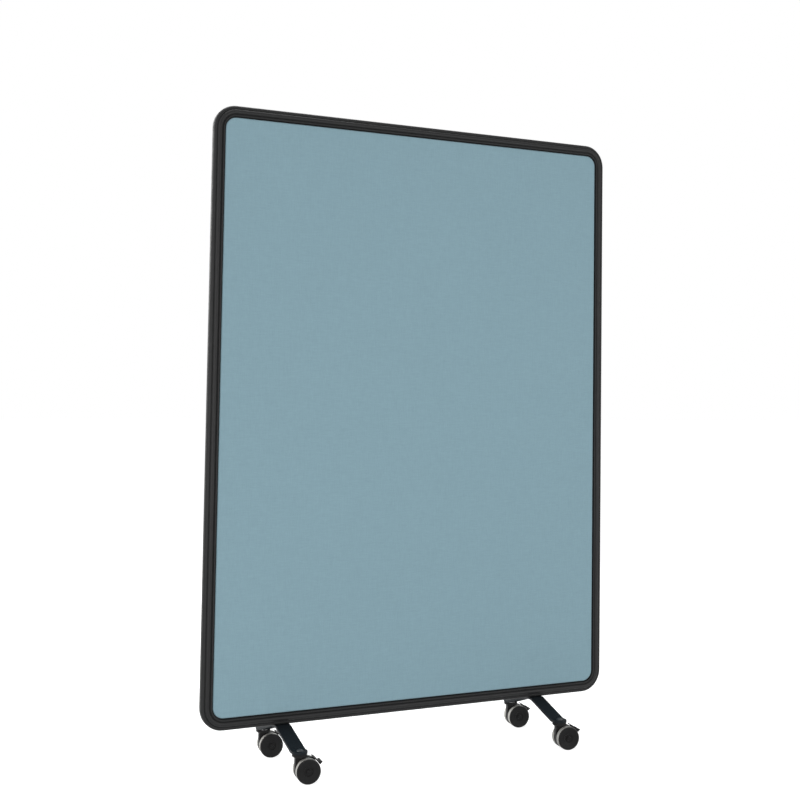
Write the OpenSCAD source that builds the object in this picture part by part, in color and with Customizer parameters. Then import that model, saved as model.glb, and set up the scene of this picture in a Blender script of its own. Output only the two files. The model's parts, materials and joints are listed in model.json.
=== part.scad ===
// Rolling partition: a fabric-faced screen in a rounded aluminium frame, on two bent
// steel feet with four twin-wheel castors that have brakes.
// The origin is on the floor under the middle of the screen. X runs along the screen,
// -Y points to the front, and Z points up.

/* [Screen] */
// Width over the frame
screen_w = 1200; // [900:10:1800]
// Height of the frame alone
screen_h = 1580; // [1000:10:2000]
// Outer radius of the frame's corners
corner_r = 60; // [50:1:110]
// Thickness of the core board
core_t = 10; // [8:0.5:12]
// Thickness of each acoustic pad
pad_t = 5; // [4:0.5:8]
// Thickness of the fabric
fabric_t = 0.8; // [0.5:0.1:1.2]
// Rounding of the fabric's front edge
fabric_round = 3.8; // [2.5:0.1:4]

/* [Frame section] */
// Thickness of the outer bead
edge_t = 20; // [18:0.5:22]
// Width of the outer bead on the frame's face
edge_w = 9.6; // [9.2:0.1:10]
// Rounding of the outer bead
edge_round = 6.5; // [3:0.5:7]
// Radius of the rounded bead on the frame's face
bead_r = 7.2; // [6.8:0.1:7.6]
// Height of the face bead over the middle of the frame
bead_rise = 14.2; // [13.6:0.1:14.8]
// Distance from the outer edge to the crest of the face bead
bead_in = 16.2; // [16:0.1:16.8]
// Width of the gutter between the face bead and the lip
gutter_w = 0.5; // [0.4:0.1:1.5]
// Height of the gutter's floor over the middle of the frame
gutter_rise = 10.2; // [9:0.2:11]
// Width of the rounded lip inside the gutter
lip_w = 4.6; // [4.5:0.1:6]
// Height of the lip over the middle of the frame
lip_rise = 13.4; // [12.4:0.1:14]
// Rounding of the lip
lip_round = 2.1; // [1:0.1:2.1]
// Radius of the groove between the two beads
groove_r = 1.5; // [0.8:0.1:1.8]
// Wall of the face bead and over the board's channel
wall = 1.7; // [1.4:0.1:2]
// Width of the hollow in the face bead
hollow_w = 8.6; // [6:0.2:8.8]
// Outer wall of the chamber
outer_wall = 2.5; // [2:0.1:3]
// Depth of the hollow chamber
chamber_w = 9; // [8:0.1:9.2]
// Width of the hollow chamber across the frame
chamber_t = 12; // [11:0.5:13]
// Web between the chamber and the board's channel
web = 2.5; // [2:0.1:3]
// Length of each splice bar
splice_l = 160; // [80:5:240]
// Distance of a splice screw from the bar's end
splice_screw_in = 30; // [8:1:35]
// Radius of a splice screw
splice_screw_r = 2.5; // [2:0.25:3]
// Width of the gasket
gasket_w = 1.9; // [1.5:0.1:2.2]
// Height of the gasket
gasket_h = 4; // [3:0.1:4]

/* [Feet] */
// Distance of each foot from the frame's end
foot_in = 218; // [160:1:280]
// Distance of each castor stem from the middle plane
stem_y = 127; // [100:1:200]
// Width of the foot's flat bar
foot_w = 40; // [36:1:50]
// Thickness of the foot's flat bar
foot_t = 6; // [5.5:0.5:10]
// Rise of the foot from its pads to its seat
foot_rise = 35.5; // [22:0.5:45]
// Length of the flat seat under the frame
seat_l = 22; // [20:1:50]
// Length of the level pad inside the stem
pad_in = 10; // [10:1:20]
// Inner radius of the bar's bends
bend_r = 10; // [6:1:14]
// Distance between the two screws of a foot
foot_screw_gap = 24; // [18:1:25]
// Radius of a foot screw
foot_screw_r = 3; // [2.5:0.25:3]
// Radius of a foot screw's head
foot_head_r = 5.2; // [5:0.1:5.6]
// Height of a foot screw's head
foot_head_h = 3.3; // [2.5:0.1:3.5]
// Length of a nut plate in the frame's chamber
nut_plate_l = 50; // [40:1:70]
// Thickness of a nut plate
nut_plate_t = 6; // [4:0.5:7.5]
// Radius of a cap nut's domed head
cap_nut_r = 9; // [8.5:0.1:10]
// Height of a cap nut's domed head
cap_nut_h = 4.5; // [3.8:0.1:6]
// Wall of a cap nut's sleeve
cap_nut_wall = 1.8; // [1.5:0.1:2.4]

/* [Castors] */
// Diameter of the wheels over their tyres
wheel_d = 62; // [58:0.5:66]
// Thickness of the tyre
tyre_t = 2.5; // [2:0.1:3]
// Width over both wheels
castor_w = 45; // [42:0.5:50]
// Horizontal distance from the stem to the axle
trail = 19; // [18:0.5:20]
// Height of the foot's pad over the wheels
over_wheel = 10; // [10:0.5:16]
// Angle of the castors as they stand, about Z
castor_turn = -9; // [-180:1:180]
// Thickness of the housing between the wheels
housing_t = 13; // [12.5:0.5:15]
// Distance of the hood's edge inside the tyres' edge
hood_in = 1; // [0.5:0.1:2]
// Radius of the stem's thread
stem_r = 5; // [4:0.5:5]
// Radius of the stem's collar
collar_r = 15; // [14:0.5:16]
// Height of the stem's collar
collar_h = 3; // [2:0.5:3.5]
// Radius of the pivot pin under the collar
pivot_r = 4; // [3:0.25:4]
// Length of the pivot pin under the collar
pivot_l = 15; // [12:0.5:16]
// Radius of the housing's neck
neck_r = 12; // [11.5:0.1:13]
// Radius of the housing's round head
cup_r = 19; // [18.5:0.5:20]
// Height of the taper under the housing's round head
cup_taper = 3; // [1.5:0.5:3.5]
// Radius of the axle
axle_r = 3; // [2.5:0.25:3.5]
// Radius of a wheel's middle boss
boss_r = 6; // [5:0.2:7]
// Radius of the round recess in a wheel
recess_r = 11; // [9:0.2:12]
// Depth of the round recess in a wheel
recess_d = 4; // [3.4:0.1:5]
// Wall of a wheel
wheel_wall = 2.5; // [2:0.1:3]
// Radius of the brake pin
pin_r = 2; // [1.5:0.1:2.2]
// Distance of the brake pin from the axle
pin_at = 22; // [21:0.5:23]
// Width of the brake pedal over both tyres
pedal_w = 34; // [26:1:40]
// Thickness of the brake pedal's plate
pedal_t = 2.8; // [1.8:0.1:3]
// Gap between the raised pedal and the tyres
pedal_gap = 1.8; // [1.8:0.1:2.4]
// Reach of the pedal's tip, from the tyres
pedal_out = 11; // [8:0.5:14]
// Thickness of the pedal's tongue in the housing
tongue_t = 5; // [4:0.5:6]

/* [Fits] */
// Radial running clearance of pins, axles and bushes
run_gap = 0.05; // [0.02:0.01:0.08]
// Radial clearance of pins and bushes that stay put
press_gap = 0.01; // [0.01:0.005:0.02]
// Clearance round a board, a bar or a sleeve in its hole
slip_gap = 0.1; // [0.05:0.05:0.2]
// Gap between parts that turn past each other
side_gap = 0.6; // [0.4:0.1:0.8]
// Gap between soft or upright faces and their neighbours
face_gap = 0.3; // [0.2:0.1:0.4]
// Clearance of a screw in a plain hole
screw_gap = 0.3; // [0.2:0.05:0.4]

/* [Hidden] */
$fn = 96;
// Lengths by which a cut runs past its face and by which joined forms lap
eps = 0.01;
lap = 0.1;

CASTORS = ["front_left", "rear_left", "front_right", "rear_right"];
CASTOR_PARTS = ["stem", "swivel_bush", "housing", "axle", "front_wheel", "front_tyre",
    "rear_wheel", "rear_tyre", "brake_pedal", "pedal_pin"];

frame_black = "#2b2c2e";
plastic_black = "#2a2b2b";
steel = "#a9acae";

// Heights and places
wheel_r = wheel_d/2;
castor_h = wheel_d + over_wheel;
seat_z = castor_h + foot_t + foot_rise;
middle_z = seat_z + screen_h/2;
foot_x = screen_w/2 - foot_in;

// Frame section, measured inwards from the outer edge and outwards from the middle plane
lip_in = bead_in + bead_r + gutter_w;
gasket_out = lip_in + lip_w + slip_gap;
section_w = gasket_out + gasket_w + slip_gap;
channel_t = core_t + 2*slip_gap;
channel_in = outer_wall + chamber_w + web;
ledge_rise = channel_t/2 + wall;
bead_z = bead_rise - bead_r;
chamber_round = 1;
splice_screw_x = splice_l/2 - splice_screw_in;
gasket_round = gasket_w*0.4;

// Panel: how far each layer's edge lies inside the frame's, and the layers' faces
core_in = channel_in + slip_gap;
fabric_in = section_w + face_gap;
pad_edge_in = fabric_in + fabric_t;
pad_face = core_t/2 + pad_t;
fabric_face = pad_face + fabric_t;

// Foot: the two bends and the arm between them, on the bar's middle line. The arm's tilt
// makes it tangent to both bends.
bend_steps = 16;
bend_m = bend_r + foot_t/2;
seat_y = seat_l/2;
pad_y = stem_y - pad_in;
arm_run = pad_y - seat_y;
bend_rest = 2*bend_m - foot_rise;
arm_tilt = asin(2*bend_m/norm([arm_run, bend_rest])) - atan2(bend_rest, arm_run);
head_sunk = 0.2;
head_z = seat_z - foot_t + head_sunk;
sleeve_short = 1;
stud_end = 2;

// Castor head and bush, with the stem's axis at the origin and the wheels trailing along +X
collar_z = castor_h - collar_h;
pivot_z = collar_z - pivot_l;
flange_t = 1.1;
flange_in = 1;
bush_r = pivot_r + run_gap + 1;
housing_z = collar_z - face_gap - flange_t;
cup_low = wheel_d + side_gap;
cup_top = castor_h - side_gap;

// Wheels, with their profiles measured outwards from the housing's side
rim_r = wheel_r - tyre_t;
wheel_w = (castor_w - housing_t)/2 - side_gap;
axle_in_wheel = wheel_w - recess_d;
rim_edge = 1;
rim_lip = 2.6;
dish = 2.4;
boss_in = 1;
hub_wall = 4;

// Side view of the housing and the pedal, in degrees about the axle
hood_r = wheel_r - hood_in;
hood_from = 72;
hood_to = 222;
ear_wall = 5;
ear_from = 36;
boss_wall = 6;
pin_a = 62;
eye_wall = 2.5;
pedal_in = wheel_r + pedal_gap;
pedal_from = 27;
pedal_to = 64;
tongue_from = 54;
tongue_to = 66;
slot_from = 30;
slot_to = 78;
slot_r = 14;
tip_from = pedal_from + 2.5;
tip_to = pedal_from + 5;
tip_root = pedal_from + 7;
tip_slant = 0.8;

// ---------- Shapes used by several parts ----------

// A rectangle with round corners, centred
module round_rect(w, h, r) {
    square([w - 2*r, h], center = true);
    square([w, h - 2*r], center = true);
    for (x = [-1, 1], y = [-1, 1])
        translate([x*(w/2 - r), y*(h/2 - r)]) circle(r);
}

// A pie of a disc between two angles
module pie(r, from, to) {
    steps = ceil((to - from)/45);
    intersection() {
        circle(r);
        polygon(concat([[0, 0]],
            [for (i = [0:steps]) 2*r*at_angle(from + (to - from)*i/steps)]));
    }
}

// A curved strip between two radii and two angles
module curved_strip(r0, r1, from, to) {
    difference() {
        pie(r1, from, to);
        circle(r0);
    }
}

function at_angle(a) = [cos(a), sin(a)];

// One straight run of a section, along Y. The section's x is its distance from the
// corner's centre, and its y is its height over the middle plane.
module straight_run(length) {
    rotate([90, 0, 0]) linear_extrude(length, center = true) children();
}

// A closed ring of a section round a rectangle with round corners
module ring_run(w, h, r) {
    for (a = [0:90:270]) {
        across = a % 180 == 0 ? w : h;
        along = a % 180 == 0 ? h : w;
        rotate(a) {
            translate([across/2 - r, 0]) straight_run(along - 2*r) children();
            translate([across/2 - r, along/2 - r]) rotate_extrude(angle = 90) children();
        }
    }
}

// A slab with round corners whose upper edge is rounded all round
module soft_slab(w, h, r, low, high, edge) {
    translate([0, 0, low]) linear_extrude(high - low - edge) round_rect(w, h, r);
    translate([0, 0, low]) linear_extrude(high - low) round_rect(w - 2*edge, h - 2*edge, r - edge);
    ring_run(w, h, r) translate([r - edge, high - edge]) pie(edge, 0, 90);
}

// From the flat layout to the upright screen: the layout's Z becomes the front,
// and a side of -1 puts a front layer on the rear
module upright(side = 1) {
    translate([0, 0, middle_z]) rotate([90, 0, 0]) mirror([0, 0, side < 0 ? 1 : 0]) children();
}

// ---------- Frame ----------

// The extruded section. Its x runs outwards from the corner's centre.
module frame_section() {
    flat = edge_t/2 - edge_round;
    translate([corner_r, 0]) mirror([1, 0]) difference() {
        union() {
            translate([0, -flat]) square([bead_in, 2*flat]);
            translate([edge_round, -edge_t/2]) square([bead_in - edge_round, edge_t]);
            translate([edge_w, -ledge_rise]) square([section_w - edge_w, 2*ledge_rise]);
            translate([bead_in, -gutter_rise]) square([lip_in + lip_w - bead_in, 2*gutter_rise]);
            translate([lip_in + lip_w/2, 0]) round_rect(lip_w, 2*lip_rise, lip_round);
            for (side = [-1, 1]) {
                translate([edge_round, side*flat]) circle(edge_round);
                translate([bead_in, side*bead_z]) circle(bead_r);
            }
        }
        for (side = [-1, 1]) {
            translate([edge_w, side*edge_t/2]) circle(groove_r);
            bead_hollow(side);
        }
        translate([outer_wall + chamber_w/2, 0]) round_rect(chamber_w, chamber_t, chamber_round);
        translate([channel_in, -channel_t/2]) square([section_w, channel_t]);
    }
}

// The hollow in a face bead, clear of the groove
module bead_hollow(side) {
    intersection() {
        translate([bead_in, side*bead_z]) circle(bead_r - wall);
        translate([bead_in, side*(ledge_rise + bead_r/2)]) square([hollow_w, bead_r], center = true);
    }
}

// One bent half of the frame, from the top joint round to the bottom joint
module frame_half(side) {
    half = screen_w/2 - corner_r;
    height = screen_h/2 - corner_r;
    color(frame_black) difference() {
        upright() mirror([side < 0 ? 1 : 0, 0, 0]) {
            translate([half, 0]) straight_run(2*height) frame_section();
            for (end = [-1, 1]) mirror([0, end < 0 ? 1 : 0, 0]) {
                translate([half, height]) rotate_extrude(angle = 90) frame_section();
                translate([half/2, height]) rotate(90) straight_run(half) frame_section();
            }
        }
        at_foot_screws(side) cylinder(h = 3*outer_wall, r = foot_screw_r + screw_gap, center = true);
        at_splice_screws(side) cylinder(h = 2*web, r = splice_screw_r + run_gap, center = true);
    }
}

// Places on the outer edge, where the foot screws pass into the chamber
module at_foot_screws(side) {
    for (s = [-1, 1])
        translate([side*foot_x + s*foot_screw_gap/2, 0, seat_z]) children();
}

// Places on the chamber's inner web at the two joints, looking into the chamber
module at_splice_screws(side) {
    for (end = [-1, 1])
        translate([side*splice_screw_x, 0, middle_z + end*(screen_h/2 - channel_in + web/2)])
            rotate([end < 0 ? 180 : 0, 0, 0]) children();
}

// A bar that fills the chamber across a joint
module splice_bar(end) {
    at = end*(screen_h/2 - outer_wall - chamber_w/2);
    color(steel) difference() {
        translate([0, 0, middle_z + at]) rotate([90, 0, 90]) linear_extrude(splice_l, center = true)
            round_rect(chamber_t - 2*slip_gap, chamber_w - 2*slip_gap, chamber_round);
        for (side = [-1, 1])
            at_splice_screws(side) cylinder(h = chamber_w + web, r = splice_screw_r + run_gap);
    }
}

// Grub screws, from the channel's floor through the web into the splice bars
module splice_screws() {
    color(steel) for (side = [-1, 1]) at_splice_screws(side) difference() {
        translate([0, 0, -web/2]) cylinder(h = web + chamber_w - slip_gap, r = splice_screw_r);
        translate([0, 0, -web/2 - eps]) cylinder(h = splice_screw_r, r = splice_screw_r*0.6, $fn = 6);
    }
}

// A rubber strip on the frame's ledge, between the lip and the fabric
module gasket(side) {
    color("#1b1c1d") upright(side) ring_run(screen_w, screen_h, corner_r)
        translate([corner_r - gasket_out - gasket_w/2, ledge_rise + gasket_h/2])
            round_rect(gasket_w, gasket_h, gasket_round);
}

// ---------- Panel ----------

module core_board() {
    color("#b99b6c") upright() linear_extrude(core_t, center = true)
        round_rect(screen_w - 2*core_in, screen_h - 2*core_in, corner_r - core_in);
}

// A layer on the board's face, up to a height, with its edge inside the frame's
module panel_layer(edge_in, high, edge) {
    soft_slab(screen_w - 2*edge_in, screen_h - 2*edge_in, corner_r - edge_in, core_t/2, high, edge);
}

module acoustic_pad(side) {
    color("#8b8f92") upright(side) panel_layer(pad_edge_in, pad_face, fabric_round - fabric_t);
}

module fabric(side) {
    color("#7c9aa8") upright(side) difference() {
        panel_layer(fabric_in, fabric_face, fabric_round);
        panel_layer(pad_edge_in, pad_face, fabric_round - fabric_t);
    }
}

// ---------- Feet ----------

// Points along an arc about a centre
function arc(centre, r, from, to) =
    [for (i = [0:bend_steps]) centre + r*at_angle(from + (to - from)*i/bend_steps)];

// Half of the bar's upper or lower outline, from the middle plane to its end. Height is
// that of the surface over the bar's underside: foot_t above, 0 below.
function foot_outline(height) = concat(
    [[0, seat_z - foot_t + height]],
    arc([seat_y, seat_z - foot_t - bend_r], bend_r + height, 90, 90 - arm_tilt),
    arc([pad_y, castor_h + foot_t + bend_r], bend_r + foot_t - height, 270 - arm_tilt, 270),
    [[stem_y + foot_w/2, castor_h + height]]);

// The bar seen from its side
module foot_side() {
    upper = foot_outline(foot_t);
    lower = foot_outline(0);
    last = len(upper) - 1;
    right = concat(upper, [for (i = [last:-1:1]) lower[i]]);
    polygon(concat(right, [for (i = [0:last]) [-lower[i].x, lower[i].y]],
        [for (i = [last:-1:1]) [-upper[i].x, upper[i].y]]));
}

// The bar: its side view cut to its plan, with the screw holes and the stem holes
module foot_bar(side) {
    color(frame_black) translate([side*foot_x, 0, 0]) difference() {
        intersection() {
            rotate([90, 0, 90]) linear_extrude(foot_w, center = true) foot_side();
            linear_extrude(seat_z + foot_t) {
                square([foot_w, 2*stem_y], center = true);
                for (end = [-1, 1]) translate([0, end*stem_y]) circle(foot_w/2);
            }
        }
        for (s = [-1, 1]) translate([s*foot_screw_gap/2, 0, seat_z - foot_t - eps]) {
            cylinder(h = foot_t + 2*eps, r = foot_screw_r + screw_gap);
            cylinder(h = head_z + foot_head_h - seat_z + foot_t + eps, r = foot_head_r + screw_gap);
        }
        for (end = [-1, 1]) translate([0, end*stem_y, castor_h - eps])
            cylinder(h = foot_t + 2*eps, r = stem_r + cap_nut_wall + slip_gap);
    }
}

// A threaded plate on the floor of the frame's chamber, over each foot
module nut_plate(side) {
    color(steel) difference() {
        translate([side*foot_x, 0, seat_z + outer_wall + nut_plate_t/2])
            cube([nut_plate_l, chamber_t - 2*chamber_round, nut_plate_t], center = true);
        at_foot_screws(side) cylinder(h = chamber_w + outer_wall, r = foot_screw_r + run_gap);
    }
}

// Socket screws, from the foot's underside into the nut plates
module foot_screws() {
    color(steel) for (side = [-1, 1], s = [-1, 1])
        translate([side*foot_x + s*foot_screw_gap/2, 0, head_z]) difference() {
            union() {
                cylinder(h = foot_head_h, r = foot_head_r);
                cylinder(h = seat_z + outer_wall + nut_plate_t - head_z, r = foot_screw_r);
            }
            translate([0, 0, -eps]) cylinder(h = foot_head_h*0.6, r = foot_screw_r*0.75, $fn = 6);
        }
}

// Low domed nuts whose sleeves pass down through the pads onto the castors' studs
module castor_cap_nuts() {
    dome_r = (cap_nut_r*cap_nut_r + cap_nut_h*cap_nut_h)/(2*cap_nut_h);
    color(plastic_black) for (x = [-1, 1], y = [-1, 1])
        translate([x*foot_x, y*stem_y, castor_h + foot_t]) difference() {
            union() {
                intersection() {
                    translate([0, 0, cap_nut_h - dome_r]) sphere(dome_r);
                    cylinder(h = cap_nut_h + eps, r = cap_nut_r);
                }
                translate([0, 0, sleeve_short - foot_t])
                    cylinder(h = foot_t - sleeve_short + eps, r = stem_r + cap_nut_wall);
            }
            translate([0, 0, -foot_t]) cylinder(h = foot_t + stud_end + face_gap, r = stem_r + run_gap);
        }
}

// ---------- Castors ----------

// A castor's place, turned as it stands
module at_castor(name) {
    x = name == "front_left" || name == "rear_left" ? -1 : 1;
    y = name == "front_left" || name == "front_right" ? -1 : 1;
    translate([x*foot_x, y*stem_y, 0]) rotate(castor_turn) children();
}

// A solid of a side view, standing in the castor's middle plane
module standing(thickness) {
    rotate([90, 0, 0]) linear_extrude(thickness, center = true) children();
}

// The side view's centre at the axle, and at the brake pin
module at_axle() {
    translate([trail, wheel_r]) children();
}

module at_pin() {
    at_axle() translate(pin_at*at_angle(pin_a)) children();
}

// A body turned round the axle, on one side of the housing. The section's x is the
// radius and its y is the distance outwards.
module turned(side) {
    translate([trail, side*(housing_t/2 + side_gap), wheel_r]) rotate([-side*90, 0, 0])
        rotate_extrude() children();
}

// Threaded stud, collar and pivot pin in one piece
module stem() {
    color(steel) {
        translate([0, 0, castor_h]) cylinder(h = foot_t + stud_end, r = stem_r);
        translate([0, 0, collar_z]) cylinder(h = collar_h, r = collar_r);
        translate([0, 0, pivot_z]) cylinder(h = pivot_l, r = pivot_r);
    }
}

// Flanged bush between the pivot pin and the housing
module swivel_bush() {
    color("#c8b98a") difference() {
        union() {
            translate([0, 0, housing_z]) cylinder(h = flange_t, r = neck_r - flange_in);
            translate([0, 0, pivot_z]) cylinder(h = housing_z - pivot_z, r = bush_r);
        }
        translate([0, 0, pivot_z - eps]) cylinder(h = pivot_l + eps, r = pivot_r + run_gap);
    }
}

// The body between the wheels: a round head that hides the stem's collar, a neck, a hood,
// the axle's boss and the ears of the brake pin
module housing() {
    color(plastic_black) difference() {
        union() {
            translate([0, 0, cup_low]) cylinder(h = cup_taper, r1 = collar_r, r2 = cup_r);
            translate([0, 0, cup_low + cup_taper]) cylinder(h = cup_top - cup_low - cup_taper, r = cup_r);
            standing(housing_t) {
                translate([-neck_r, wheel_r]) square([2*neck_r, cup_low + cup_taper/2 - wheel_r]);
                at_axle() {
                    pie(hood_r, hood_from, hood_to);
                    pie(pin_at + ear_wall, ear_from, hood_from + lap);
                    circle(axle_r + boss_wall);
                }
            }
        }
        translate([0, 0, pivot_z - face_gap]) cylinder(h = pivot_l + collar_h, r = bush_r + press_gap);
        translate([0, 0, housing_z]) cylinder(h = castor_h - housing_z, r = collar_r + side_gap);
        standing(2*housing_t) {
            at_axle() circle(axle_r + press_gap);
            at_pin() circle(pin_r + press_gap);
        }
        standing(tongue_t + side_gap) at_axle() curved_strip(slot_r, 2*hood_r, slot_from, slot_to);
    }
}

module axle() {
    color(steel) translate([trail, 0, wheel_r]) rotate([90, 0, 0])
        cylinder(h = housing_t + 2*(side_gap + axle_in_wheel), r = axle_r, center = true);
}

// A wheel: a dished face with a round recess and a boss, hollow on its inner side
module wheel(side) {
    web_out = recess_r + rim_edge;
    color(plastic_black) turned(side) difference() {
        polygon([[0, 0], [rim_r, 0], [rim_r, wheel_w - rim_edge], [rim_r - rim_edge, wheel_w],
            [rim_r - rim_lip, wheel_w], [web_out, wheel_w - dish], [recess_r, wheel_w - recess_d],
            [boss_r, wheel_w - recess_d], [boss_r - boss_in, wheel_w - boss_in], [0, wheel_w - boss_in]]);
        polygon([[axle_r + hub_wall, -eps], [axle_r + hub_wall, axle_in_wheel - wheel_wall],
            [web_out, axle_in_wheel - wheel_wall], [web_out + 2*rim_edge, wheel_w - dish - wheel_wall],
            [rim_r - wheel_wall - rim_edge, wheel_w - wheel_wall],
            [rim_r - wheel_wall, wheel_w - wheel_wall - rim_edge], [rim_r - wheel_wall, -eps]]);
        translate([0, -eps]) square([axle_r + run_gap, axle_in_wheel + face_gap + eps]);
    }
}

// The tread, with rounded shoulders
module tyre(side) {
    color("#b9b8b4") turned(side) translate([rim_r, wheel_w/2]) difference() {
        round_rect(2*tyre_t, wheel_w - 2*rim_edge, tyre_t/2);
        translate([-tyre_t, 0]) square([2*tyre_t, wheel_w], center = true);
    }
}

// The brake pedal: a plate that follows both treads, a raised tip and a tongue on its pin
module brake_pedal() {
    color(plastic_black) difference() {
        union() {
            standing(pedal_w) at_axle() {
                curved_strip(pedal_in, pedal_in + pedal_t, pedal_from, pedal_to);
                pedal_tip();
            }
            standing(tongue_t) {
                at_axle() curved_strip(pin_at, pedal_in + lap, tongue_from, tongue_to);
                at_pin() circle(pin_r + eye_wall);
            }
        }
        standing(2*pedal_w) at_pin() circle(pin_r + run_gap);
    }
}

// The tip flicks up and out from the plate's lower end
module pedal_tip() {
    reach = wheel_r + pedal_out;
    polygon([pedal_in*at_angle(pedal_from), reach*at_angle(tip_from),
        (reach - tip_slant)*at_angle(tip_to), (pedal_in + pedal_t)*at_angle(tip_root),
        pedal_in*at_angle(tip_root)]);
}

module pedal_pin() {
    color(steel) standing(housing_t) at_pin() circle(pin_r);
}

module castor_part(part) {
    if (part == "stem") stem();
    if (part == "swivel_bush") swivel_bush();
    if (part == "housing") housing();
    if (part == "axle") axle();
    if (part == "front_wheel") wheel(-1);
    if (part == "front_tyre") tyre(-1);
    if (part == "rear_wheel") wheel(1);
    if (part == "rear_tyre") tyre(1);
    if (part == "brake_pedal") brake_pedal();
    if (part == "pedal_pin") pedal_pin();
}

// ---------- Nodes ----------

frame_half(-1);  // left_frame_half
frame_half(1);  // right_frame_half
splice_bar(1);  // top_splice_bar
splice_bar(-1);  // bottom_splice_bar
splice_screws();
core_board();
acoustic_pad(1);  // front_acoustic_pad
acoustic_pad(-1);  // rear_acoustic_pad
fabric(1);  // front_fabric
fabric(-1);  // rear_fabric
gasket(1);  // front_gasket
gasket(-1);  // rear_gasket
foot_bar(-1);  // left_foot_bar
foot_bar(1);  // right_foot_bar
nut_plate(-1);  // left_nut_plate
nut_plate(1);  // right_nut_plate
foot_screws();
castor_cap_nuts();
for (name = CASTORS, part = CASTOR_PARTS)
    at_castor(name) castor_part(part);
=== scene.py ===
"""A rolling partition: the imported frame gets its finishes, its stretched fabric faces and
felt pads, a white studio floor and the photograph's camera. All lengths are in metres."""
import json
import math

import bpy
from mathutils import Matrix, Vector, noise


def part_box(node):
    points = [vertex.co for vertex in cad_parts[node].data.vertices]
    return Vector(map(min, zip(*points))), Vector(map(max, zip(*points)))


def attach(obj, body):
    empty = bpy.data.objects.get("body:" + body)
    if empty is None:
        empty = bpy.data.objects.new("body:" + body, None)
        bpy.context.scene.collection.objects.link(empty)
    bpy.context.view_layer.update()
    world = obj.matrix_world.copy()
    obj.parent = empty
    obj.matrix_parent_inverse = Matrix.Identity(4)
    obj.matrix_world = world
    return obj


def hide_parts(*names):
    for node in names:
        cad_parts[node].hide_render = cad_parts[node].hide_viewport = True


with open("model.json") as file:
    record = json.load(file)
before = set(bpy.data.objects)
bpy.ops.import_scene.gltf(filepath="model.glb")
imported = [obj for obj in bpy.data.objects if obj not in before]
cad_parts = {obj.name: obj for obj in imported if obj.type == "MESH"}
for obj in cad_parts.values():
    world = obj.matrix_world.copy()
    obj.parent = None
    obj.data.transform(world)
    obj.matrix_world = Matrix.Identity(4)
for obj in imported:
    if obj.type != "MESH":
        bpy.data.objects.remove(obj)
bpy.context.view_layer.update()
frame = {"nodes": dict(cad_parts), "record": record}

MM = 0.001
FRONT, REAR = -1, 1
WHITE = (1, 1, 1)


# ---------- Camera ----------

CAMERA_AT = Vector((-1.6390, -3.1629, 0.9826))
YAW = math.radians(26.536)
PITCH = math.radians(3.204)
ROLL = math.radians(0.860)

SENSOR = 36.0            # width of the sensor, in the camera's own millimetres
IMAGE_SIZE = 800         # width and height of the photograph, in pixels
FOCAL_PX = 1304.10       # focal length, in pixels
AXIS_ROW = 312.45        # row of the photograph that the lens points at


def make_camera():
    """A nearly level camera at the photograph's viewpoint, with its frame shifted down."""
    forward = Vector((math.sin(YAW)*math.cos(PITCH),
                      math.cos(YAW)*math.cos(PITCH),
                      math.sin(PITCH)))
    right = Vector((math.cos(YAW), -math.sin(YAW), 0))
    up = right.cross(forward)
    x = math.cos(ROLL)*right + math.sin(ROLL)*up
    y = math.cos(ROLL)*up - math.sin(ROLL)*right
    data = bpy.data.cameras.new("camera")
    data.sensor_width = SENSOR
    data.lens = FOCAL_PX*SENSOR/IMAGE_SIZE
    data.shift_y = (AXIS_ROW - IMAGE_SIZE/2)/IMAGE_SIZE
    camera = bpy.data.objects.new("camera", data)
    rotation = Matrix((x, y, -forward)).transposed().to_4x4()
    camera.matrix_world = Matrix.Translation(CAMERA_AT) @ rotation
    bpy.context.collection.objects.link(camera)
    bpy.context.scene.camera = camera


make_camera()


# ---------- Material helpers ----------

def tint(colour, amount):
    """A lighter or darker shade of a colour."""
    return tuple(min(1, c*amount) for c in colour)


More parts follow.
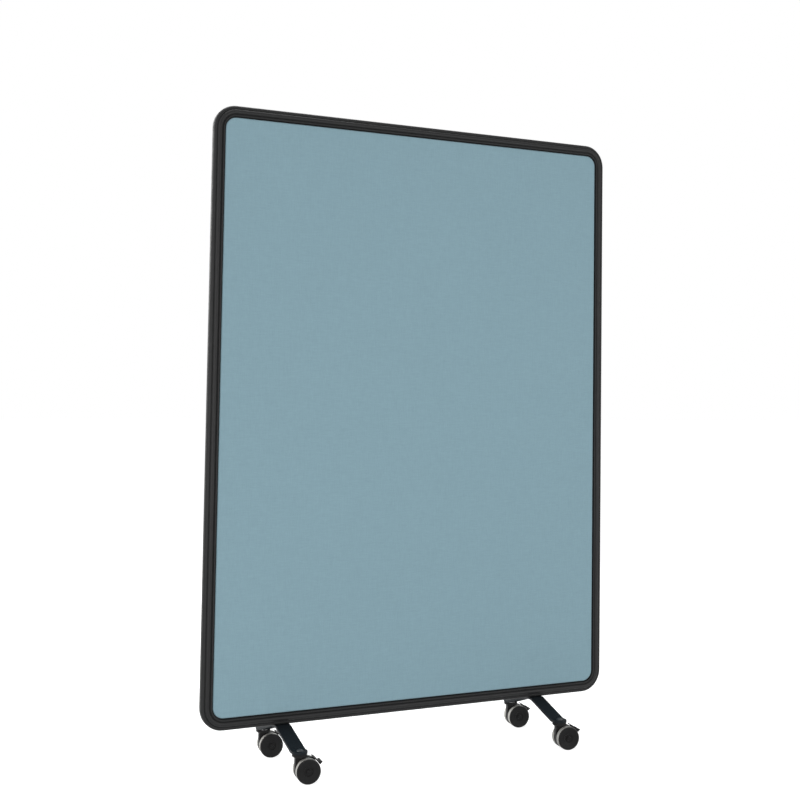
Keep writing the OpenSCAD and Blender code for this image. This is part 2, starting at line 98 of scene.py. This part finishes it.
class Shader:
    """A material with one Principled shader, and short calls that add its detail."""

    def __init__(self, name, colour, roughness, metallic=0.0, **sockets):
        self.material = bpy.data.materials.new(name)
        self.material.use_nodes = True
        self.tree = self.material.node_tree
        self.principled = self.tree.nodes["Principled BSDF"]
        self.principled.inputs["Base Color"].default_value = (*colour, 1)
        self.principled.inputs["Roughness"].default_value = roughness
        self.principled.inputs["Metallic"].default_value = metallic
        for socket, value in sockets.items():
            self.principled.inputs[socket.replace("_", " ")].default_value = value
        texture = self.add("ShaderNodeTexCoord")
        self.coordinates = texture.outputs["Object"]
        self.facing = texture.outputs["Normal"]
        self.normal = None

    def add(self, kind, **settings):
        """A new node of that kind."""
        node = self.tree.nodes.new(kind)
        for key, value in settings.items():
            setattr(node, key, value)
        return node

    def feed(self, socket, value):
        """Links an output to a socket, or sets the socket to a number or a colour."""
        if isinstance(value, bpy.types.NodeSocket):
            self.tree.links.new(value, socket)
        elif isinstance(value, tuple):
            socket.default_value = (*value, 1)
        else:
            socket.default_value = value

    def math(self, operation, *values):
        """A Math node on numbers or outputs."""
        node = self.add("ShaderNodeMath", operation=operation)
        for socket, value in zip(node.inputs, values):
            self.feed(socket, value)
        return node.outputs[0]

    def parts(self, vector):
        """The X, Y and Z outputs of a vector."""
        node = self.add("ShaderNodeSeparateXYZ")
        self.feed(node.inputs[0], vector)
        return node.outputs

    def stretched(self, scale):
        """The object's coordinates, scaled along each axis."""
        mapping = self.add("ShaderNodeMapping")
        mapping.inputs["Scale"].default_value = scale
        self.feed(mapping.inputs["Vector"], self.coordinates)
        return mapping.outputs["Vector"]

    def noise(self, size, detail=3.0, scale=(1, 1, 1)):
        """Noise whose grains are about size across, and longer along an axis where scale
        is less than 1."""
        node = self.add("ShaderNodeTexNoise")
        node.inputs["Scale"].default_value = 1/size
        node.inputs["Detail"].default_value = detail
        self.feed(node.inputs["Vector"], self.stretched(scale))
        return node.outputs["Fac"]

    def ranged(self, value, first, last, start=0.3, end=0.7):
        """Turns a value that goes from start to end into one that goes from first to last."""
        node = self.add("ShaderNodeMapRange")
        numbers = {"From Min": start, "From Max": end, "To Min": first, "To Max": last}
        for socket, number in numbers.items():
            node.inputs[socket].default_value = number
        self.feed(node.inputs["Value"], value)
        return node.outputs["Result"]

    def blend(self, factor, first, second):
        """From the first colour to the second, as the factor goes from 0 to 1."""
        mix = self.add("ShaderNodeMix", data_type="RGBA")
        self.feed(mix.inputs["A"], first)
        self.feed(mix.inputs["B"], second)
        self.feed(mix.inputs["Factor"], factor)
        return mix.outputs["Result"]

    def shades(self, factor, colour, darkest, lightest):
        """Shades of one colour, by the factor."""
        return self.blend(factor, tint(colour, darkest), tint(colour, lightest))

    def paint(self, output):
        """Takes the surface's colour from an output."""
        self.feed(self.principled.inputs["Base Color"], output)

    def roughness(self, output):
        """Takes the surface's roughness from an output."""
        self.feed(self.principled.inputs["Roughness"], output)

    def soft_edges(self, radius):
        """Rounds the sharp edges of the solid in the shading, under the bumps that follow."""
        node = self.add("ShaderNodeBevel", samples=4)
        node.inputs["Radius"].default_value = radius
        self.normal = node.outputs["Normal"]

    def bump(self, height, depth, strength=1.0):
        """Adds relief of that depth over what relief there is."""
        node = self.add("ShaderNodeBump")
        node.inputs["Strength"].default_value = strength
        node.inputs["Distance"].default_value = depth
        self.feed(node.inputs["Height"], height)
        if self.normal is not None:
            self.feed(node.inputs["Normal"], self.normal)
        self.normal = node.outputs["Normal"]
        self.feed(self.principled.inputs["Normal"], self.normal)


# ---------- Materials ----------

def powder_coat(name, colour, roughness, gloss=0.20):
    """Satin powder coat: a fine orange peel, with soft changes of gloss and tone."""
    shader = Shader(name, colour, roughness, Specular_IOR_Level=gloss)
    shader.soft_edges(radius=0.6*MM)
    cloud = shader.noise(size=90*MM, detail=4)
    shader.paint(shader.shades(cloud, colour, darkest=0.88, lightest=1.14))
    patches = shader.noise(size=14*MM, detail=4)
    shader.roughness(shader.ranged(patches, first=roughness - 0.05, last=roughness + 0.06))
    shader.bump(shader.noise(size=1.6*MM, detail=2), depth=0.03*MM)
    shader.bump(shader.noise(size=0.35*MM, detail=1), depth=0.008*MM)
    return shader.material


def moulded_plastic(name, colour, roughness=0.42):
    """Nylon from a spark-eroded mould: a fine even grain, rubbed smoother in places."""
    shader = Shader(name, colour, roughness, Specular_IOR_Level=0.07)
    shader.soft_edges(radius=0.4*MM)
    rubbed = shader.noise(size=9*MM)
    shader.paint(shader.shades(rubbed, colour, darkest=0.85, lightest=1.18))
    shader.roughness(shader.ranged(rubbed, first=roughness + 0.08, last=roughness - 0.07))
    shader.bump(shader.noise(size=0.45*MM), depth=0.02*MM)
    return shader.material


def tread_rubber(name, colour, shoulder):
    """Soft tread with faint dust and a dull, dry surface. Its shoulders are dark: the axles
    lie along Y, so the surface faces along Y there."""
    shader = Shader(name, colour, roughness=0.62, Specular_IOR_Level=0.3)
    dust = shader.noise(size=5*MM, detail=4)
    running = shader.shades(dust, colour, darkest=0.86, lightest=1.08)
    sideways = shader.math("ABSOLUTE", shader.parts(shader.facing)["Y"])
    on_shoulder = shader.ranged(sideways, first=0.0, last=1.0, start=0.40, end=0.55)
    shader.paint(shader.blend(on_shoulder, running, shoulder))
    shader.roughness(shader.ranged(shader.noise(size=2.5*MM), first=0.55, last=0.72))
    shader.bump(shader.noise(size=0.6*MM), depth=0.03*MM)
    return shader.material


def zinc_steel(name, colour):
    """Zinc-plated steel with faint drawn lines and cloudy plating."""
    shader = Shader(name, colour, roughness=0.34, metallic=1.0)
    shader.paint(shader.shades(shader.noise(size=6*MM), colour, darkest=0.86, lightest=1.1))
    lines = shader.noise(size=1.2*MM, scale=(1, 1, 0.06))
    shader.roughness(shader.ranged(lines, first=0.27, last=0.42))
    shader.bump(lines, depth=0.01*MM)
    return shader.material


def gasket_rubber(name, colour):
    """Matt rubber with a faint bloom."""
    shader = Shader(name, colour, roughness=0.8, Specular_IOR_Level=0.15)
    shader.paint(shader.shades(shader.noise(size=20*MM), colour, darkest=0.8, lightest=1.5))
    shader.roughness(shader.ranged(shader.noise(size=4*MM, detail=2), first=0.7, last=0.9))
    shader.bump(shader.noise(size=0.8*MM, detail=2), depth=0.03*MM)
    return shader.material


def fibre_board(name, colour):
    """Pressed fibre board: short pale and dark fibres."""
    shader = Shader(name, colour, roughness=0.82)
    fibres = shader.noise(size=2.2*MM, detail=6, scale=(0.3, 1, 1))
    shader.paint(shader.shades(fibres, colour, darkest=0.62, lightest=1.3))
    shader.roughness(shader.ranged(fibres, first=0.75, last=0.9))
    shader.bump(fibres, depth=0.1*MM)
    return shader.material


def nylon_bush(name, colour):
    """Undyed nylon, slightly waxy."""
    shader = Shader(name, colour, roughness=0.4, Subsurface_Weight=0.1)
    cloud = shader.noise(size=4*MM, detail=2)
    shader.paint(shader.shades(cloud, colour, darkest=0.9, lightest=1.06))
    shader.roughness(shader.ranged(shader.noise(size=2*MM, detail=2), first=0.35, last=0.5))
    shader.bump(shader.noise(size=0.8*MM, detail=2), depth=0.01*MM)
    return shader.material


def needled_felt(name, colour):
    """Felt of tangled fibres in mixed shades."""
    shader = Shader(name, colour, roughness=0.95)
    fibres = shader.noise(size=1.4*MM, detail=8)
    shader.paint(shader.shades(fibres, colour, darkest=0.6, lightest=1.45))
    shader.roughness(shader.ranged(fibres, first=0.9, last=1.0))
    shader.bump(fibres, depth=0.3*MM)
    return shader.material


THREAD_PITCH = 1.3*MM
THREAD_POWER = 0.6       # power of the sine across a thread: less than 1 makes broad backs
YARN_STREAK = 1.1*MM     # width of the streaks in the yarn
STREAK_SCALE = 0.05      # their scale along the yarn, so they are 20 times as long
BACK_PAINTED_LIGHT = 0.3         # painted light: how much lighter the backs of the threads are painted than the gaps, which get painted shade


def thread_back(shader, position):
    """How high the round back of the thread at a position stands, from 0 to 1, and the
    thread's number."""
    across = shader.math("DIVIDE", position, THREAD_PITCH)
    wave = shader.math("SINE", shader.math("MULTIPLY", across, math.pi))
    back = shader.math("POWER", shader.math("ABSOLUTE", wave), THREAD_POWER)
    return back, shader.math("FLOOR", across)


def woven_fabric(name, colour):
    """Plain-woven upholstery: warp threads over weft threads, in several shades of yarn,
    with slubs and a soft sheen, and painted light: the backs of the threads are painted
    lighter than the gaps, which get painted shade."""
    shader = Shader(name, colour, roughness=0.86, Specular_IOR_Level=0.25,
                    Sheen_Weight=0.12, Sheen_Roughness=0.45)
    position = shader.parts(shader.coordinates)
    warp_back, warp_number = thread_back(shader, position["X"])
    weft_back, weft_number = thread_back(shader, position["Z"])
    warp_on_top = shader.math("PINGPONG", shader.math("ADD", warp_number, weft_number), 1.0)
    weft_on_top = shader.math("SUBTRACT", 1.0, warp_on_top)

    def woven(warp, weft):
        """What shows of the warp and of the weft."""
        return shader.math("ADD", shader.math("MULTIPLY", warp, warp_on_top),
                           shader.math("MULTIPLY", weft, weft_on_top))

    height = woven(warp_back, weft_back)
    yarn = woven(shader.noise(YARN_STREAK, scale=(1, 1, STREAK_SCALE)),
                 shader.noise(YARN_STREAK, scale=(STREAK_SCALE, 1, 1)))
    # The yarn's own tone plus painted light: the backs of the threads are painted lighter than the
    # gaps, which get painted shade
    shade = shader.math("ADD", shader.ranged(yarn, first=0.0, last=0.7),
                        shader.math("MULTIPLY", height, BACK_PAINTED_LIGHT))
    cloud = shader.ranged(shader.noise(size=160*MM), first=-0.02, last=0.02)
    tone = shader.math("ADD", shade, cloud)
    shader.paint(shader.shades(tone, colour, darkest=0.86, lightest=1.09))
    shader.roughness(shader.ranged(height, first=0.92, last=0.8, start=0.0, end=1.0))
    shader.bump(height, depth=0.16*MM, strength=0.7)
    shader.bump(yarn, depth=0.05*MM, strength=0.5)
    return shader.material


FINISHES = {
    "frame": powder_coat("frame_powder_coat", (0.0095, 0.0097, 0.0100), roughness=0.48),
    "foot": powder_coat("foot_powder_coat", (0.0072, 0.0094, 0.0117), roughness=0.48, gloss=0.10),
    "fabric": woven_fabric("blue_grey_weave", (0.213, 0.330, 0.382)),
    "felt": needled_felt("grey_felt", (0.24, 0.25, 0.26)),
    "board": fibre_board("fibre_board", (0.42, 0.30, 0.17)),
    "gasket": gasket_rubber("black_gasket", (0.005, 0.005, 0.0055)),
    "zinc_steel": zinc_steel("zinc_steel", (0.52, 0.53, 0.54)),
    "black_nut": powder_coat("black_nut", (0.020, 0.022, 0.025), roughness=0.28, gloss=0.6),
    "bush": nylon_bush("natural_nylon", (0.56, 0.5, 0.36)),
    "castor_black": moulded_plastic("castor_black", (0.0125, 0.0125, 0.0127)),
    "tread": tread_rubber("grey_tread", (0.39, 0.38, 0.355), shoulder=(0.010, 0.010, 0.010)),
}


def dress_cad_nodes():
    """Gives each node of the frame the finish of its material slot."""
    for part in frame["record"]["subparts"]:
        obj = frame["nodes"][part["node"]]
        obj.data.materials.clear()
        obj.data.materials.append(FINISHES[part["material_slot"]])


dress_cad_nodes()


# ---------- Soft layers ----------

FRAME_CORNER = 60*MM     # radius of the frame's outer corners
EDGE_ROUND = 3.8*MM      # radius of the fabric's rounded edge
FABRIC_T = 0.8*MM        # thickness of the fabric
FABRIC_CLEAR = 0.05*MM   # how far the fabric stays inside the solid that it stands for
FELT_CLEAR = 0.15*MM     # how far the felt does

CORNER_POINTS = 20       # points round each corner of a loop
SIDE_STEP = 24*MM        # about the length of the steps along its sides
LEAST_RADIUS = 2*MM      # least radius of its corners
EDGE_STEPS = 8           # steps round the rounded edge
# Insets of the loops over the face
FACE_INSETS = [d*MM for d in (7, 12, 20, 30, 60, 100, 150, 210, 280, 360, 450, 540)]

SMOOTH_EDGE = 0.6*EDGE_ROUND    # width of the rounded edge that has no relief
CLOTH_SUNK = 0.12*MM            # mean depth of the cloth's relief
WAVE_HEIGHT = 0.10*MM           # its shallow unevenness
WAVES_PER_METRE = 9
PUCKER_HEIGHT = 0.08*MM         # its puckers at the edge
PUCKERS_PER_METRE = 70
PUCKER_REACH = 12*MM            # how far from the edge they fade
FELT_SUNK = 0.05*MM             # least depth of the felt's relief
HOLLOW_DEPTH = 0.10*MM          # its small hollows
HOLLOWS_PER_METRE = 60

# The corners in their order round a loop, and the way that the side after each runs
CORNERS = ((1, 1), (-1, 1), (-1, -1), (1, -1))
SIDE_WAYS = (Vector((-1, 0)), Vector((0, -1)), Vector((1, 0)), Vector((0, 1)))


def rounded_loop(half_w, half_h, radius, sides):
    """Points of a rectangle with round corners, with sides = steps along its width
    and its height, so that loops of different sizes match point by point."""
    points = []
    for corner, (sx, sz) in enumerate(CORNERS):
        centre = Vector((sx*(half_w - radius), sz*(half_h - radius)))
        for i in range(CORNER_POINTS):
            angle = math.pi/2*(corner + i/(CORNER_POINTS - 1))
            points.append(centre + radius*Vector((math.cos(angle), math.sin(angle))))
        steps = sides[corner % 2]
        run = 2*((half_w, half_h)[corner % 2] - radius)
        start = points[-1]
        points += [start + SIDE_WAYS[corner]*run*i/steps for i in range(1, steps)]
    return points


class Layer:
    """A soft layer on one side of the board, with the box of the CAD node it stands for.
    Its corners are concentric with the frame's."""

    def __init__(self, node, side, clear, edge):
        low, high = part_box(node)
        self.side, self.edge = side, edge
        self.centre_z = (low[2] + high[2])/2
        self.half_w = (high[0] - low[0])/2 - clear
        self.half_h = (high[2] - low[2])/2 - clear
        depths = sorted((abs(low[1]), abs(high[1])))
        self.back, self.face = depths[0] + clear, depths[1] - clear
        inset = frame["record"]["size"]["bbox_m"][0]/2 - self.half_w
        self.radius = FRAME_CORNER - inset
        self.sides = (round(2*self.half_w/SIDE_STEP), round(2*self.half_h/SIDE_STEP))

    def profile(self):
        """(inset, depth) from the back edge, round the rounded edge and over the face."""
        angles = [math.pi/2*i/EDGE_STEPS for i in range(EDGE_STEPS + 1)]
        arc = [(self.edge*(1 - math.cos(a)), self.face - self.edge*(1 - math.sin(a)))
               for a in angles]
        return [(0, self.back)] + arc + [(d, self.face) for d in FACE_INSETS if d < self.half_w]

    def point(self, flat, depth):
        """A point of the face, flat = (x, height over the middle), at a depth from the board."""
        return Vector((flat.x, self.side*depth, self.centre_z + flat.y))

    def points_and_loops(self, relief):
        """The layer's points, and their numbers loop by loop, from the back edge to the
        middle of the face; relief(point, inset) moves each point outwards."""
        points, loops = [], []
        for inset, depth in self.profile():
            radius = max(self.radius - inset, LEAST_RADIUS)
            loop = []
            for flat in rounded_loop(self.half_w - inset, self.half_h - inset, radius, self.sides):
                loop.append(len(points))
                points.append(self.point(flat, depth + relief(flat, inset)))
            loops.append(loop)
        return points, loops

    def make_object(self, name, relief, closed):
        """The layer as an object: an open sheet, or a closed body."""
        points, loops = self.points_and_loops(relief)
        faces = []
        for outer, inner in zip(loops, loops[1:]):
            count = len(outer)
            faces += [(outer[i], outer[(i + 1) % count], inner[(i + 1) % count], inner[i])
                      for i in range(count)]
        faces.append(tuple(loops[-1]))
        if closed:
            faces.append(tuple(reversed(loops[0])))
        if self.side == REAR:
            faces = [tuple(reversed(face)) for face in faces]
        mesh = bpy.data.meshes.new(name)
        mesh.from_pydata(points, [], faces)
        mesh.validate()
        mesh.polygons.foreach_set("use_smooth", [True]*len(mesh.polygons))
        obj = bpy.data.objects.new(name, mesh)
        bpy.context.collection.objects.link(obj)
        return obj


def bumps(flat, per_metre, pattern):
    """Smooth noise between -1 and 1 over the face; each pattern number has its own."""
    return noise.noise(Vector((flat.x, flat.y, pattern))*per_metre)


def taut_cloth(flat, inset):
    """Relief of a stretched face: a shallow unevenness, and tiny puckers that fade away
    from the edge."""
    if inset < SMOOTH_EDGE:
        return 0.0
    waves = WAVE_HEIGHT*bumps(flat, WAVES_PER_METRE, pattern=0)
    puckers = PUCKER_HEIGHT*bumps(flat, PUCKERS_PER_METRE, pattern=3)*math.exp(-inset/PUCKER_REACH)
    return min(0.0, waves + puckers - CLOTH_SUNK)


def felt_relief(flat, inset):
    """Small hollows all over the felt."""
    return -FELT_SUNK - HOLLOW_DEPTH*abs(bumps(flat, HOLLOWS_PER_METRE, pattern=7))


def add_felt(node, side):
    """The felt pad behind the fabric."""
    layer = Layer(node, side, FELT_CLEAR, EDGE_ROUND - FABRIC_T)
    pad = layer.make_object(node + "_felt", felt_relief, closed=True)
    pad.data.materials.append(FINISHES["felt"])
    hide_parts(node)
    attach(pad, "screen")
    return pad


def add_cover(node, side):
    """The fabric, stretched over the pad and wrapped round its edge."""
    layer = Layer(node, side, FABRIC_CLEAR, EDGE_ROUND)
    cover = layer.make_object(node + "_cover", taut_cloth, closed=False)
    thick = cover.modifiers.new("thickness", "SOLIDIFY")
    thick.thickness = FABRIC_T - 2*FABRIC_CLEAR
    thick.offset = -1
    cover.data.materials.append(FINISHES["fabric"])
    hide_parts(node)
    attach(cover, "screen")


for place, side in (("front", FRONT), ("rear", REAR)):
    felt_pad = add_felt(place + "_acoustic_pad", side)
    add_cover(place + "_fabric", side)


# ---------- Studio ----------

FLOOR_HALF = 30          # half the width of the floor
FLOOR_GREY = (0.5, 0.5, 0.5)
# How much the floor shines where it is seen directly: enough to be white in the lamps' light
FLOOR_GLOW = 0.79
WORLD_LEVEL = 0.43       # how strongly the white surroundings light the object
SCREEN_MIDDLE = Vector((0, 0, 0.9))

# Each lamp's name, place, width and height, and power in watts
SOFTBOXES = (
    ("key_softbox", (-3.0, -4.4, 1.0), (2.9, 1.9), 109),
    ("fill_softbox", (2.2, -4.0, 1.1), (2.4, 2.0), 72),
    ("side_softbox", (-3.2, 0.5, 2.4), (1.4, 2.4), 80),
    ("top_softbox", (-0.2, 0.7, 4.0), (2.6, 1.4), 60),
    ("rear_softbox", (-1.2, 3.6, 2.4), (3.0, 2.4), 84),
)


def seen_directly(tree):
    """1 for the rays that come from the camera, straight or by way of metal and glass."""
    path = tree.nodes.new("ShaderNodeLightPath")
    seen = path.outputs["Is Camera Ray"]
    for kind in ("Is Glossy Ray", "Is Transmission Ray"):
        either = tree.nodes.new("ShaderNodeMath")
        either.operation = "MAXIMUM"
        tree.links.new(seen, either.inputs[0])
        tree.links.new(path.outputs[kind], either.inputs[1])
        seen = either.outputs[0]
    return seen


def show_white(shader, glow):
    """Makes a surface shine where it is seen directly, and leaves its own colour and
    the shadows on it for all other light."""
    strength = shader.math("MULTIPLY", seen_directly(shader.tree), glow)
    shine = shader.add("ShaderNodeEmission")
    shader.feed(shine.inputs["Color"], WHITE)
    shader.feed(shine.inputs["Strength"], strength)
    both = shader.add("ShaderNodeAddShader")
    shader.feed(both.inputs[0], shader.principled.outputs[0])
    shader.feed(both.inputs[1], shine.outputs[0])
    shader.feed(shader.tree.nodes["Material Output"].inputs["Surface"], both.outputs[0])


def make_floor():
    """The pale floor that the object stands on."""
    corners = [(x*FLOOR_HALF, y*FLOOR_HALF, 0) for x, y in ((-1, -1), (1, -1), (1, 1), (-1, 1))]
    mesh = bpy.data.meshes.new("floor")
    mesh.from_pydata(corners, [], [(0, 1, 2, 3)])
    floor = bpy.data.objects.new("floor", mesh)
    bpy.context.collection.objects.link(floor)
    shader = Shader("studio_floor", FLOOR_GREY, roughness=0.9, Specular_IOR_Level=0.1)
    show_white(shader, FLOOR_GLOW)
    floor.data.materials.append(shader.material)


def make_world(level):
    """Even white surroundings: level lights the object, and 1 is what is seen directly."""
    world = bpy.data.worlds.new("studio")
    world.use_nodes = True
    bpy.context.scene.world = world
    tree = world.node_tree
    background = tree.nodes["Background"]
    background.inputs["Color"].default_value = (*WHITE, 1)
    strength = tree.nodes.new("ShaderNodeMapRange")
    strength.inputs["To Min"].default_value = level
    strength.inputs["To Max"].default_value = 1.0
    tree.links.new(seen_directly(tree), strength.inputs["Value"])
    tree.links.new(strength.outputs["Result"], background.inputs["Strength"])


def add_softbox(name, place, size, power):
    """A rectangular lamp that faces the middle of the screen."""
    data = bpy.data.lights.new(name, "AREA")
    data.shape = "RECTANGLE"
    data.size, data.size_y = size
    data.energy = power
    lamp = bpy.data.objects.new(name, data)
    lamp.location = place
    direction = SCREEN_MIDDLE - Vector(place)
    lamp.rotation_euler = direction.to_track_quat("-Z", "Y").to_euler()
    bpy.context.collection.objects.link(lamp)


make_floor()
make_world(WORLD_LEVEL)
for name, place, size, power in SOFTBOXES:
    add_softbox(name, place, size, power)

bpy.context.scene.view_settings.view_transform = "Standard"
